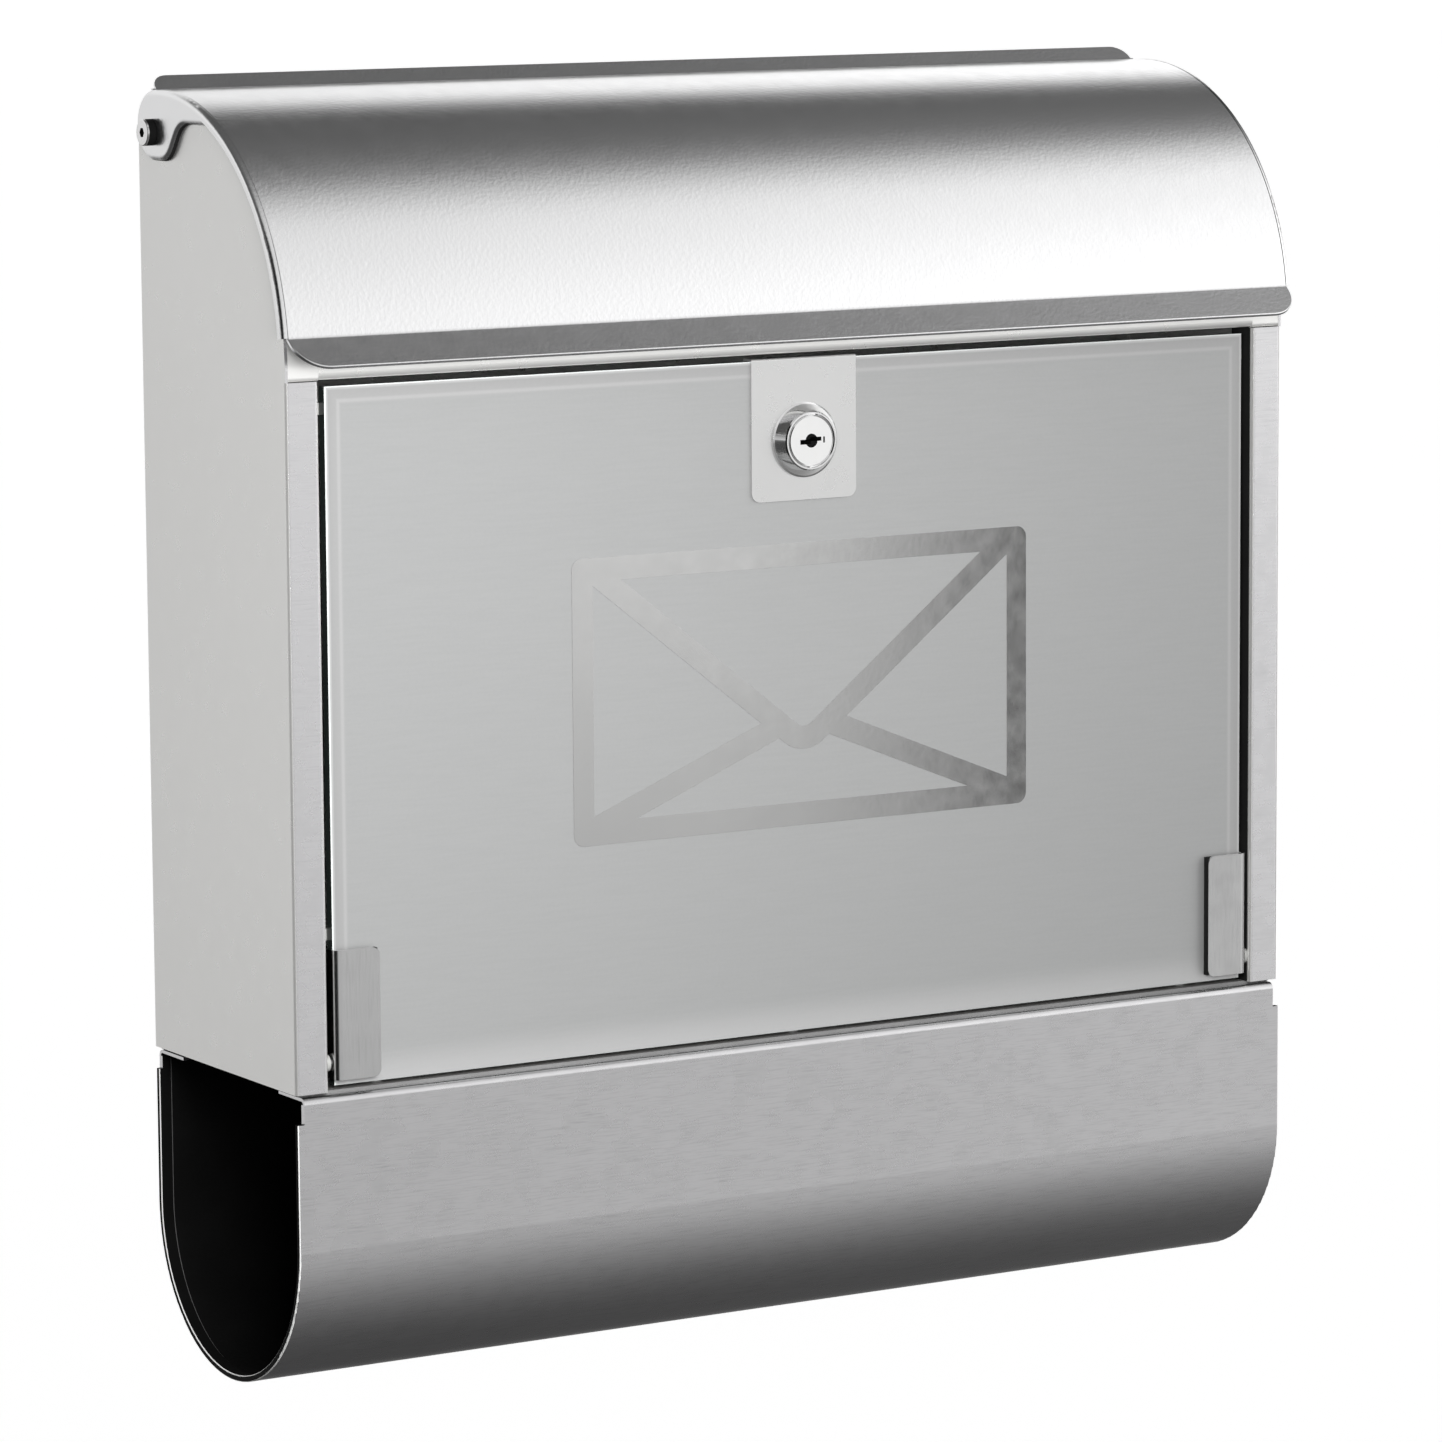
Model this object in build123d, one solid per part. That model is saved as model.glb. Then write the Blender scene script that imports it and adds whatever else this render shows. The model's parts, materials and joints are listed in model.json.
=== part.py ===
from build123d import *
import os
from math import atan2, cos, degrees, radians, sin, sqrt

# A wall box for letters: sheet-metal case, curved lift-up lid, fold-down glass front with a cam
# lock, and an open-ended newspaper tray underneath.
# Millimetres. X to the right, Y towards the wall (the wall is Y = 0), Z up. Heights in this file
# start at the case's bottom edge. save() moves every piece so that the origin is the middle of
# the four wall screws.

# Sheet
SHEET = 1.0            # case, lid and tray sheet
BEND = 1.3             # outside bend radius
RUN = 0.05             # radial clearance of a running fit

# Case
CASE_W = 365.0
CASE_D = 96.2
HALF_W = CASE_W / 2
FRONT = -CASE_D
STRIP_W = 11.3         # front strips beside the door
RETURN_D = 11.7        # depth of the folds behind the strips and under the header rail
DOOR_TOP = 216.4       # underside of the header rail
HEADER_H = 13.1
HEADER_LEAN = 0.6      # the header rail leans back with the lid's curve
HEADER_BEND = 2.4      # the rail's lower front bend, over the door
STRIKE_H = 9.5         # upturned edge behind the header rail, which the lock's cam catches
BACK_H = 282.0
REAR_CORNER_R = 14.0   # upper rear corner of the side panels
FOLD = 11.0            # width of the folds that join the panels

# Wall screws
SCREW_CENTRE_Z = 150.0
SCREW_SPACING_X = 280.0
SCREW_SPACING_Z = 180.0
SCREW_HOLE_R = 3.25

# Lid curve: one arc about a line along X
ARC_Y = -18.5
ARC_Z = 220.0
LID_R = 81.0
CASE_ARC_R = 77.7
LID_HALF_W = 184.7     # over the cheeks
CHEEK_ROLL = 2.0       # width of the rolled edge between cheek and curve
CHEEK_ROLL_R = 1.9
CHEEK_INNER_R = 78.2
LIP_BEND = (-98.9, 230.0)
LIP_EDGE = (-108.0, 221.8)
LIP_CORNER_R = 10.5
LIP_RIM_R = 0.4
FLANGE_BEND = (-11.4, 300.6)
FLANGE_EDGE = (-6.2, 304.9)
FLANGE_INSET = 1.2
FLANGE_CORNER_R = 5.5
LID_BEND_R = 1.5

# Lid pivot
PIVOT_Y = -13.3
PIVOT_Z = 287.9
EAR_Z = 290.0
EAR_R = 10.8
EAR_HEEL_Y = -18.5     # front end of the ear's flat bottom
EAR_TOP_Y = -37.0      # where the ear has run into the cheek's lower edge
EAR_TOP_Z = 291.0
PIVOT_SHANK_R = 2.0
PIVOT_SLEEVE_R = 3.0
PIVOT_HEAD_R = 4.1
PIVOT_HEAD_T = 0.7
PIVOT_COLLAR_T = 2.4
PIVOT_TIP = 176.5      # inner end of the pivot bolt, from the centre
PIVOT_SOCKET_R = 1.6
PIVOT_WASHER_R = 4.5
PIVOT_WASHER_T = 0.8
PIVOT_NUT_R = 4.04
PIVOT_NUT_T = 2.6
PIVOT_NUT_COLLAR_R = 3.2

# Lid bumpers, on the header rail
BUMPER_X = 140.0
BUMPER_UP = 8.6
BUMPER_R = 3.6
BUMPER_T = 1.6

# Door
GLASS_HALF_W = 168.3
GLASS_Z = (1.5, 214.6)
GLASS_FRONT = -94.3
GLASS_T = 4.0
GLASS_REAR = GLASS_FRONT + GLASS_T
TAPE_T = 0.5
TAPE_W = 12.0
PAN_INSET = 3.0
PAN_FRONT = GLASS_REAR + TAPE_T
PAN_REAR = PAN_FRONT + SHEET
PAN_FOLD = 5.0         # depth of the pan's edge folds
PAN_FOLD_Z = (47.5, 207.6)

# Door hinge
HINGE_Y = -92.8
HINGE_Z = 8.5
SPIGOT_R = 1.5
SPIGOT_END = 175.0
BUSH_R = 2.1
BUSH_COLLAR_R = 2.6
BRACKET_X = (153.8, 169.3)
BRACKET_Z = (3.5, 43.5)
BRACKET_T = 1.0
BRACKET_FRONT = -97.3
BRACKET_BEND = 2.4
BRACKET_CORNER_R = 2.6
BRACKET_REAR = -87.0
PAD_EDGE = 1.6         # the front pad stops short of the strap's bend
CLAMP_SCREW_R = 2.0
CLAMP_HEAD_R = 3.5
STOP_Z = (47.5, 207.6)
STOP_H = 3.6
STOP_W = 4.6

# Lock
LOCK_Z = 189.4
PLATE_T = 0.8
LOCK_PLATE_HALF_W = 19.2
LOCK_PLATE_Z = 170.5
BEZEL_R = 11.8
BEZEL_RIM_R = 9.0
BEZEL_H = 4.5
BARREL_R = 9.5
PLUG_R = 8.0
PLUG_SQUARE = 3.6      # half width of the plug's square shank
KEYWAY = (((-2.0, -0.35), (4.2, 1.5)), ((1.7, 0.45), (3.8, 1.3)))   # centre and size of its two steps
KEYWAY_RECESS_R = 2.2
INDEX_MARK = ((4.6, 0.1), (0.6, 1.9))
LOCK_WASHER_R = 12.5
LOCK_WASHER_T = 0.8
LOCK_NUT_R = 13.6
LOCK_NUT_T = 3.5
LOCK_HOLE_R = 9.8
BARREL_REAR = -83.2
CAM_FRONT = -82.9
CAM_T = 2.0
CAM_REACH = 33.0
CAM_HUB_R = 10.0
CAM_W = 14.0
CAM_SCREW_R = 1.45
CAM_HEAD_R = 5.6

# Envelope sign
SIGN_T = 0.15
SIGN_HALF_W = 83.8
SIGN_Z = (67.3, 157.0)
SIGN_STROKE = 7.3
SIGN_CORNER_R = 3.5
FLAP_TOP = (78.0, 154.2)         # x and z where a flap line runs into the frame's corner
FLAP_TIP_Z = 93.0
FLAP_TIP_R = 8.0
FOLD_LINE = ((8.0, 100.0), (80.0, 71.0))   # one lower fold line, from the flap to the corner

# Newspaper tray
TRAY_TOP = -1.0
TRAY_R = 48.5
TRAY_AXIS_Z = -49.0
TRAY_FOLD = 17.0
TRAY_BEND = 2.0        # outside radius of the front top bend
HEM_W = 4.5
TRAY_NOTCHES = ((2.3, (-99, -80), -9), (1.2, (-20, 1), -7))   # width, y limits, bottom: front, rear
RIVET_R = 2.0
RIVET_HEAD_R = 3.5
RIVET_TAIL_R = 2.8
RIVET_X = (-150, 0, 150)
RIVET_Y = (-84.0, -10.0)


def save(shape, name):
    """Write one piece, moved so that the origin is the middle of the wall screws."""
    export_step(Pos(0, 0, -SCREW_CENTRE_Z) * shape, f"parts/{name}.step")


def along_x(face, x0, x1):
    """Extrude a face drawn in (y, z) from x0 to x1."""
    return extrude(Plane.YZ.offset(x0) * face, x1 - x0)


def along_y(face, y0, y1):
    """Extrude a face drawn in (x, z) from y0 to y1."""
    return extrude(Plane.XZ.offset(-y1) * face, y1 - y0)


def along_z(face, z0, z1):
    """Extrude a face drawn in (x, y) from z0 to z1."""
    return extrude(Plane.XY.offset(z0) * face, z1 - z0)


def block(x, y, z):
    """Box between two limits on each axis."""
    size = [hi - lo for lo, hi in (x, y, z)]
    middle = [(hi + lo) / 2 for lo, hi in (x, y, z)]
    return Pos(*middle) * Box(*size)


def rod_x(r, x0, x1, y, z):
    return along_x(Pos(y, z) * Circle(r), x0, x1)


def rod_y(r, y0, y1, x, z):
    return along_y(Pos(x, z) * Circle(r), y0, y1)


def ring(outer, inner):
    return Circle(outer) - Circle(inner)


def both_sides(shape):
    """The shape and its mirror image about the middle plane."""
    return [shape, mirror(shape, about=Plane.YZ)]


def group(solids):
    return Compound(children=list(solids))


def folded(points, bend=BEND, thickness=SHEET, side=Side.LEFT):
    """Section of a folded sheet: its outside follows the points, its thickness is on one side."""
    path = FilletPolyline(*points, radius=bend)
    return make_face(path.offset_2d(thickness, kind=Kind.ARC, side=side))


def corner_at(line, point):
    """The vertex of a flat wire nearest to a point."""
    return min(line.vertices(), key=lambda v: abs(v.X - point[0]) + abs(v.Y - point[1]))


def on_arc(radius, angle):
    """Point of a circle about the lid curve's centre, angle in degrees."""
    return (ARC_Y + radius * cos(radians(angle)), ARC_Z + radius * sin(radians(angle)))


def angle_of(point):
    return degrees(atan2(point[1] - ARC_Z, point[0] - ARC_Y))


def arc_y(radius, z):
    """Front side y of a circle about the lid curve's centre, at height z."""
    return ARC_Y - sqrt(radius ** 2 - (z - ARC_Z) ** 2)


# ---- case -----------------------------------------------------------------------------------

def back_panel():
    """Rear sheet, folded forward along its sides and its top edge."""
    inner = HALF_W - SHEET
    path = [(-inner, -FOLD), (-inner, 0), (inner, 0), (inner, -FOLD)]
    panel = along_z(folded(path, side=Side.RIGHT), 0, BACK_H - BEND)
    top_path = [(0, BACK_H - BEND - 1), (0, BACK_H), (-FOLD + 4, BACK_H)]
    panel += along_x(folded(top_path), -inner + 2, inner - 2)
    for x in (-SCREW_SPACING_X / 2, SCREW_SPACING_X / 2):
        for z in (-SCREW_SPACING_Z / 2, SCREW_SPACING_Z / 2):
            panel -= rod_y(SCREW_HOLE_R, -2 * SHEET, SHEET, x, SCREW_CENTRE_Z + z)
    return panel


def side_outline():
    """Side of the case above the strip: rear edge, rounded rear corner, arc under the lid."""
    reach = CASE_ARC_R - REAR_CORNER_R
    corner_y = -REAR_CORNER_R
    corner_z = ARC_Z + sqrt(reach ** 2 - (corner_y - ARC_Y) ** 2)
    joint = on_arc(CASE_ARC_R, angle_of((corner_y, corner_z)))
    front = (arc_y(CASE_ARC_R, ARC_Z), ARC_Z)
    middle = on_arc(CASE_ARC_R, 130)
    corner_mid = (corner_y + REAR_CORNER_R * cos(radians(45)), corner_z + REAR_CORNER_R * sin(radians(45)))
    edges = [
        Line((0, DOOR_TOP), (0, corner_z)),
        ThreePointArc((0, corner_z), corner_mid, joint),
        ThreePointArc(joint, middle, front),
        Line(front, (front[0], DOOR_TOP)),
        Line((front[0], DOOR_TOP), (0, DOOR_TOP)),
    ]
    return make_face(Wire(edges))


def side_panel():
    """Left side: side, front strip and return fold in one sheet, with the spigot bush hole."""
    inner = HALF_W - STRIP_W
    path = [(-HALF_W, 0), (-HALF_W, FRONT), (-inner, FRONT), (-inner, FRONT + RETURN_D)]
    panel = along_z(folded(path), 0, DOOR_TOP)
    panel += along_x(side_outline(), -HALF_W, -HALF_W + SHEET)
    panel -= rod_x(PIVOT_SHANK_R + RUN, -HALF_W - 1, -HALF_W + 2, PIVOT_Y, PIVOT_Z)
    panel -= rod_x(BUSH_R + RUN, -inner - 2, -inner + 2, HINGE_Y, HINGE_Z)
    return panel


def header_rail():
    """Rail above the door; the upturned rear edge of its lower fold is the lock's strike."""
    top = DOOR_TOP + HEADER_H
    rear = FRONT + RETURN_D
    path = [
        (FRONT + 8, top), (FRONT + HEADER_LEAN, top), (FRONT, DOOR_TOP),
        (rear, DOOR_TOP), (rear, DOOR_TOP + STRIKE_H),
    ]
    end = HALF_W - SHEET
    inner = HALF_W - STRIP_W
    line = Wire(Polyline(*path).edges())
    line = line.fillet_2d(HEADER_BEND, [corner_at(line, path[2])])
    line = line.fillet_2d(BEND, [corner_at(line, path[1]), corner_at(line, path[3])])
    rail = along_x(make_face(line.offset_2d(SHEET, kind=Kind.ARC, side=Side.LEFT)), -inner, inner)
    for over_strip in both_sides(along_x(folded(path), -end, -inner)):
        rail += over_strip
    return rail


def floor_panel():
    """Floor with upturned sides, resting on the tray's folds."""
    end = HALF_W - SHEET
    path = [(-end, FOLD), (-end, -SHEET), (end, -SHEET), (end, FOLD)]
    panel = extrude(Plane.XZ.offset(SHEET) * folded(path), CASE_D - 4)
    for corner in both_sides(block((-HALF_W, -HALF_W + 3 * SHEET), (-FOLD - 1, 0), (0, FOLD + 1))):
        panel -= corner
    for x, y in rivet_places():
        panel -= Pos(x, y, 0) * Cylinder(RIVET_R, 4)
    return panel


def rivet_places():
    """Blind rivets through the floor and the tray's front and rear folds."""
    return [(x, y) for x in RIVET_X for y in RIVET_Y]


def newspaper_tray():
    """U-shaped sheet open at both ends, with folds along its top edges and hems at its ends."""
    front_fold, rear_fold = tray_folds()
    tray = along_x(front_fold, -HALF_W + SHEET, HALF_W - SHEET)
    tray += along_x(rear_fold, -HALF_W + SHEET, HALF_W - SHEET)
    hemmed = along_x(tray_u(2 * SHEET), -HALF_W, -HALF_W + HEM_W)
    hemmed = fillet(hemmed.edges().filter_by(lambda e: abs(e.center().X + HALF_W) < 0.01), 0.45)
    hem_end = hemmed.edges().filter_by(lambda e: abs(e.center().X + HALF_W - HEM_W) < 0.01)
    inner = TRAY_R - 2 * SHEET
    hem_end = hem_end.filter_by(lambda e: e.length > 40 and (abs(e.center().Y + TRAY_R) < inner + 0.01))
    hemmed = chamfer(hem_end.filter_by(lambda e: on_inside(e, inner)), 0.4)
    wall = along_x(tray_u(SHEET), -HALF_W + HEM_W, HALF_W - HEM_W)
    tray += wall
    for end in both_sides(hemmed):
        tray += end
    for width, y, low in TRAY_NOTCHES:
        for notch in both_sides(block((-HALF_W - 1, -HALF_W + width), y, (low, 1))):
            tray -= notch
    for x, y in rivet_places():
        tray -= Pos(x, y, -2) * Cylinder(RIVET_R, 3)
    return tray


def tray_u(thickness):
    """The U alone: front wall, half-round bottom, rear wall."""
    top = TRAY_TOP - TRAY_BEND
    inner = TRAY_R - thickness
    outside, inside = [tray_half(radius, top) for radius in (TRAY_R, inner)]
    return outside - inside


def on_inside(edge, radius):
    """Whether an edge of the hem lies on the U's inner face, of that radius."""
    y, z = edge.position_at(0.5).Y + TRAY_R, edge.position_at(0.5).Z - TRAY_AXIS_Z
    return abs((sqrt(y ** 2 + z ** 2) if z < -0.01 else abs(y)) - radius) < 0.01


def tray_half(radius, top):
    """Filled U of one radius, open side up, closed at height top."""
    front = -TRAY_R - radius
    rear = -TRAY_R + radius
    return make_face(Wire([
        Line((front, top), (front, TRAY_AXIS_Z)),
        ThreePointArc((front, TRAY_AXIS_Z), (-TRAY_R, TRAY_AXIS_Z - radius), (rear, TRAY_AXIS_Z)),
        Line((rear, TRAY_AXIS_Z), (rear, top)),
        Line((rear, top), (front, top)),
    ]))


def tray_folds():
    """Sections of the front and rear folds along the U's top edges, with their bends."""
    low = TRAY_TOP - TRAY_BEND - 2
    front = folded([(-2 * TRAY_R, low), (-2 * TRAY_R, TRAY_TOP), (-2 * TRAY_R + TRAY_FOLD, TRAY_TOP)],
                   bend=TRAY_BEND, side=Side.RIGHT)
    return front, folded([(0, low), (0, TRAY_TOP), (-TRAY_FOLD, TRAY_TOP)], bend=TRAY_BEND)


def tray_rivets():
    """Blind rivets: domed head on the floor, swelled tail under the tray's fold."""
    rivets = []
    for x, y in rivet_places():
        head = Pos(x, y, 0.5) * Cylinder(RIVET_HEAD_R, 1.0)
        head = fillet(head.edges().sort_by(Axis.Z)[-1], 0.6)
        shank = Pos(x, y, -1) * Cylinder(RIVET_R - 0.02, 2.1)
        tail = Pos(x, y, -3.2) * Cylinder(RIVET_TAIL_R, 2.4)
        rivets.append(head + shank + tail)
    return group(rivets)


# ---- lid pivots -----------------------------------------------------------------------------

EAR_FACE = LID_HALF_W + 0.1
COLLAR_FACE = EAR_FACE + PIVOT_COLLAR_T
HEAD_FACE = COLLAR_FACE + PIVOT_HEAD_T


def pivot_bolt():
    bolt = rod_x(PIVOT_SHANK_R, -COLLAR_FACE, -PIVOT_TIP, PIVOT_Y, PIVOT_Z)
    head = rod_x(PIVOT_HEAD_R, -HEAD_FACE, -COLLAR_FACE, PIVOT_Y, PIVOT_Z)
    head = fillet(head.edges().sort_by(Axis.X)[0], 0.35)
    hexagon = Pos(PIVOT_Y, PIVOT_Z) * RegularPolygon(PIVOT_SOCKET_R, 6)
    socket = along_x(hexagon, -HEAD_FACE - 1, -COLLAR_FACE - 0.1)
    return head + bolt - socket


def pivot_bush():
    """Sleeve that the ear turns on, with an outer collar."""
    collar = along_x(Pos(PIVOT_Y, PIVOT_Z) * ring(PIVOT_HEAD_R, PIVOT_SHANK_R + RUN), -COLLAR_FACE, -EAR_FACE)
    sleeve = along_x(Pos(PIVOT_Y, PIVOT_Z) * ring(PIVOT_SLEEVE_R, PIVOT_SHANK_R + RUN), -EAR_FACE, -HALF_W)
    return collar + sleeve


def pivot_washer():
    face = -HALF_W + SHEET
    washer = Pos(PIVOT_Y, PIVOT_Z) * ring(PIVOT_WASHER_R, PIVOT_SHANK_R + 0.15)
    return along_x(washer, face, face + PIVOT_WASHER_T)


def pivot_nut():
    """Lock nut with a round collar at its inner end."""
    face = -HALF_W + SHEET + PIVOT_WASHER_T
    shoulder = face + PIVOT_NUT_T
    hexagon = Pos(PIVOT_Y, PIVOT_Z) * (RegularPolygon(PIVOT_NUT_R, 6) - Circle(PIVOT_SHANK_R + RUN))
    collar = Pos(PIVOT_Y, PIVOT_Z) * ring(PIVOT_NUT_COLLAR_R, PIVOT_SHANK_R + RUN)
    return along_x(hexagon, face, shoulder) + along_x(collar, shoulder, shoulder + 1.2)


def lid_bumper(x):
    """Rubber disc on the header rail's leaning face, just clear of the closed lid."""
    lean = HEADER_LEAN / HEADER_H
    face = Location((x, FRONT + lean * BUMPER_UP, DOOR_TOP + BUMPER_UP), (90 - degrees(atan2(lean, 1)), 0, 0))
    return face * Pos(0, 0, BUMPER_T / 2 + 0.02) * Cylinder(BUMPER_R, BUMPER_T)


# ---- lid ------------------------------------------------------------------------------------

def lid_shell():
    """Curved sheet with the front lip and the rear flange folded from it."""
    start = angle_of(FLANGE_BEND)
    end = angle_of(LIP_BEND)
    rear = on_arc(LID_R, start)
    front = on_arc(LID_R, end)
    path = Wire([
        Line(FLANGE_EDGE, rear),
        ThreePointArc(rear, on_arc(LID_R, (start + end) / 2), front),
        Line(front, LIP_EDGE),
    ])
    bends = [v for v in path.vertices() if abs(v.Y - rear[1]) < 0.01 or abs(v.Y - front[1]) < 0.01]
    path = path.fillet_2d(LID_BEND_R, bends)
    section = make_face(path.offset_2d(SHEET, kind=Kind.ARC, side=Side.LEFT))
    half = LID_HALF_W - CHEEK_ROLL
    shell = along_x(section, -half, half)
    for notch in both_sides(block((-half - 1, -half + FLANGE_INSET), (-11.6, 2), (301.1, 310))):
        shell -= notch
    lip_corners = shell.edges().filter_by(
        lambda e: e.length < 1.05 and abs(abs(e.center().X) - half) < 0.01 and e.center().Y < LIP_EDGE[0] + 1)
    cut = half - FLANGE_INSET
    shell = fillet(lip_corners, LIP_CORNER_R)
    lip_rim = shell.edges().filter_by(lambda e: e.length > 300 and e.center().Z < LIP_EDGE[1] + 0.3)
    shell = fillet(lip_rim.sort_by(Axis.Y)[0], LIP_RIM_R)
    flange_corners = shell.edges().filter_by(
        lambda e: e.length < 1.05 and abs(abs(e.center().X) - cut) < 0.01 and e.center().Z > 304)
    return fillet(flange_corners, FLANGE_CORNER_R)


def cheek_outline():
    """Cheek seen from the side: lid arc, pivot ear, S-curve, then a narrow rim to the front."""
    end = angle_of(LIP_BEND)
    touch = angle_of((PIVOT_Y, EAR_Z))
    outer_front = on_arc(LID_R, end)
    inner_front = on_arc(CHEEK_INNER_R, end)
    top = on_arc(LID_R, touch)
    ear_bottom = (PIVOT_Y, EAR_Z - EAR_R)
    ear_rear = (PIVOT_Y + EAR_R, EAR_Z)
    rim_start = (arc_y(CHEEK_INNER_R, EAR_TOP_Z), EAR_TOP_Z)
    rim_mid = on_arc(CHEEK_INNER_R, (angle_of(rim_start) + end) / 2)
    edges = [
        ThreePointArc(outer_front, on_arc(LID_R, (end + touch) / 2), top),
        ThreePointArc(top, ear_rear, ear_bottom),
        Line(ear_bottom, (EAR_HEEL_Y, ear_bottom[1])),
        Spline((EAR_HEEL_Y, ear_bottom[1]), (EAR_TOP_Y, EAR_TOP_Z), tangents=((-1, 0), (-1, 0))),
        Line((EAR_TOP_Y, EAR_TOP_Z), rim_start),
        ThreePointArc(rim_start, rim_mid, inner_front),
        Line(inner_front, outer_front),
    ]
    return make_face(Wire(edges))


def lid_cheek():
    """Left cheek: thin plate with a rolled edge that meets the curved sheet, doubled at the ear."""
    x0 = -LID_HALF_W
    cheek = along_x(cheek_outline(), x0, x0 + CHEEK_ROLL)
    rim = cheek.edges().filter_by(lambda e: abs(e.center().X - x0) < 0.01 and e.length > 60)
    cheek = fillet(rim.sort_by(SortBy.LENGTH)[-1], CHEEK_ROLL_R)
    hollow = along_x(Pos(ARC_Y, ARC_Z) * Circle(LID_R - SHEET), x0 + SHEET, x0 + CHEEK_ROLL + 1)
    ear = block((x0, x0 + CHEEK_ROLL + 1), (EAR_TOP_Y, 0), (EAR_Z - EAR_R - 1, EAR_Z + EAR_R + 1))
    cheek -= hollow - ear
    return cheek - rod_x(PIVOT_SLEEVE_R + RUN, x0 - 1, x0 + 3, PIVOT_Y, PIVOT_Z)


# ---- door -----------------------------------------------------------------------------------

def plate_xz(x, z, y0, y1):
    return block(x, (y0, y1), z)


def door_glass():
    glass = plate_xz((-GLASS_HALF_W, GLASS_HALF_W), GLASS_Z, GLASS_FRONT, GLASS_REAR)
    glass = chamfer(glass.edges().filter_by(Axis.Y, reverse=True), 0.35)
    return glass - rod_y(LOCK_HOLE_R, GLASS_FRONT - 1, GLASS_REAR + 1, 0, LOCK_Z)


def pan_limits():
    half = GLASS_HALF_W - PAN_INSET
    return (-half, half), (GLASS_Z[0] + PAN_INSET, GLASS_Z[1] - PAN_INSET)


def door_backplate():
    """Metal pan bonded behind the glass, its edges folded back between the hinge clamps."""
    x, z = pan_limits()
    pan = plate_xz(x, z, PAN_FRONT, PAN_REAR)
    for side in both_sides(block((x[0], x[0] + SHEET), (PAN_FRONT, PAN_FRONT + PAN_FOLD), PAN_FOLD_Z)):
        pan += side
    inner = BRACKET_X[0] - 3
    for low, high in ((z[0], z[0] + SHEET), (z[1] - SHEET, z[1])):
        pan += block((-inner, inner), (PAN_FRONT, PAN_FRONT + PAN_FOLD), (low, high))
    return pan - rod_y(LOCK_HOLE_R, PAN_FRONT - 1, PAN_REAR + 1, 0, LOCK_Z)


def glass_tape():
    """Four strips of tape between the glass and the pan."""
    x, z = pan_limits()
    x = (x[0] + 2, x[1] - 2)
    z = (z[0] + 2, z[1] - 2)
    strips = [block((x[0], x[1]), (GLASS_REAR, PAN_FRONT), limits)
              for limits in ((z[0], z[0] + TAPE_W), (z[1] - TAPE_W / 2, z[1]))]
    strips += both_sides(block((x[0], x[0] + TAPE_W), (GLASS_REAR, PAN_FRONT),
                               (z[0] + TAPE_W + 1, z[1] - TAPE_W / 2 - 1)))
    return group(strips)


def hinge_bracket():
    """Left clamp: a strap folded round the glass edge, with the spigot that the door turns on."""
    inner, outer = BRACKET_X
    path = [(-inner, BRACKET_FRONT), (-outer, BRACKET_FRONT), (-outer, BRACKET_REAR), (-inner, BRACKET_REAR)]
    strap = along_z(folded(path, bend=BRACKET_BEND, thickness=BRACKET_T, side=Side.RIGHT), *BRACKET_Z)
    corners = strap.edges().filter_by(Axis.Y).filter_by(lambda e: abs(e.center().X + inner) < 0.01)
    strap = fillet(corners, BRACKET_CORNER_R)
    for z in screw_heights():
        strap -= rod_y(CLAMP_SCREW_R + 0.1, BRACKET_REAR - 2, BRACKET_REAR + 1, -screw_x(), z)
    return strap + rod_x(SPIGOT_R, -SPIGOT_END, -outer + 0.5, HINGE_Y, HINGE_Z)


def screw_heights():
    return (BRACKET_Z[0] + 11, BRACKET_Z[1] - 9)


def screw_x():
    return (BRACKET_X[0] + GLASS_HALF_W) / 2 - 1


def bracket_pads():
    """Rubber between each clamp and the glass in front, and the pan behind."""
    pads = []
    x = (-GLASS_HALF_W + PAD_EDGE, -BRACKET_X[0] - 0.3)
    z = (BRACKET_Z[0] + 0.4, BRACKET_Z[1] - 0.4)
    rear = block((-pan_limits()[0][1], x[1]), (PAN_REAR, BRACKET_REAR - BRACKET_T), z)
    for height in screw_heights():
        rear -= rod_y(CLAMP_SCREW_R + 0.1, PAN_REAR - 1, BRACKET_REAR, -screw_x(), height)
    for pad in (block(x, (BRACKET_FRONT + BRACKET_T, GLASS_FRONT), z), rear):
        pads += both_sides(pad)
    return group(pads)


def bracket_screws():
    """Clamp screws through each strap's rear leaf, bearing on the pan."""
    screws = []
    for z in screw_heights():
        head = rod_y(CLAMP_HEAD_R, BRACKET_REAR, BRACKET_REAR + 1.8, -screw_x(), z)
        head = fillet(head.edges().sort_by(Axis.Y)[-1], 0.5)
        slot = along_y(Pos(-screw_x(), z) * RegularPolygon(1.5, 6), BRACKET_REAR + 0.6, BRACKET_REAR + 3)
        shank = rod_y(CLAMP_SCREW_R, PAN_REAR, BRACKET_REAR, -screw_x(), z)
        screws += both_sides(head + shank - slot)
    return group(screws)


def lock_plate():
    """Thin plate on the glass round the lock, folded back over the glass's top edge."""
    top = GLASS_Z[1]
    front = GLASS_FRONT - PLATE_T
    x = (-LOCK_PLATE_HALF_W, LOCK_PLATE_HALF_W)
    plate = block(x, (front, GLASS_FRONT), (LOCK_PLATE_Z, top + PLATE_T))
    plate += block(x, (front, GLASS_REAR), (top, top + PLATE_T))
    corners = plate.edges().filter_by(Axis.Y).filter_by(lambda e: e.center().Z < LOCK_PLATE_Z + 0.01)
    plate = fillet(corners, 3.0)
    bend = plate.edges().filter_by(Axis.X).filter_by(
        lambda e: e.center().Y < front + 0.01 and e.center().Z > top + PLATE_T - 0.01)
    plate = fillet(bend, 0.7)
    return plate - rod_y(LOCK_HOLE_R, front - 1, GLASS_FRONT + 0.1, 0, LOCK_Z)


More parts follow.
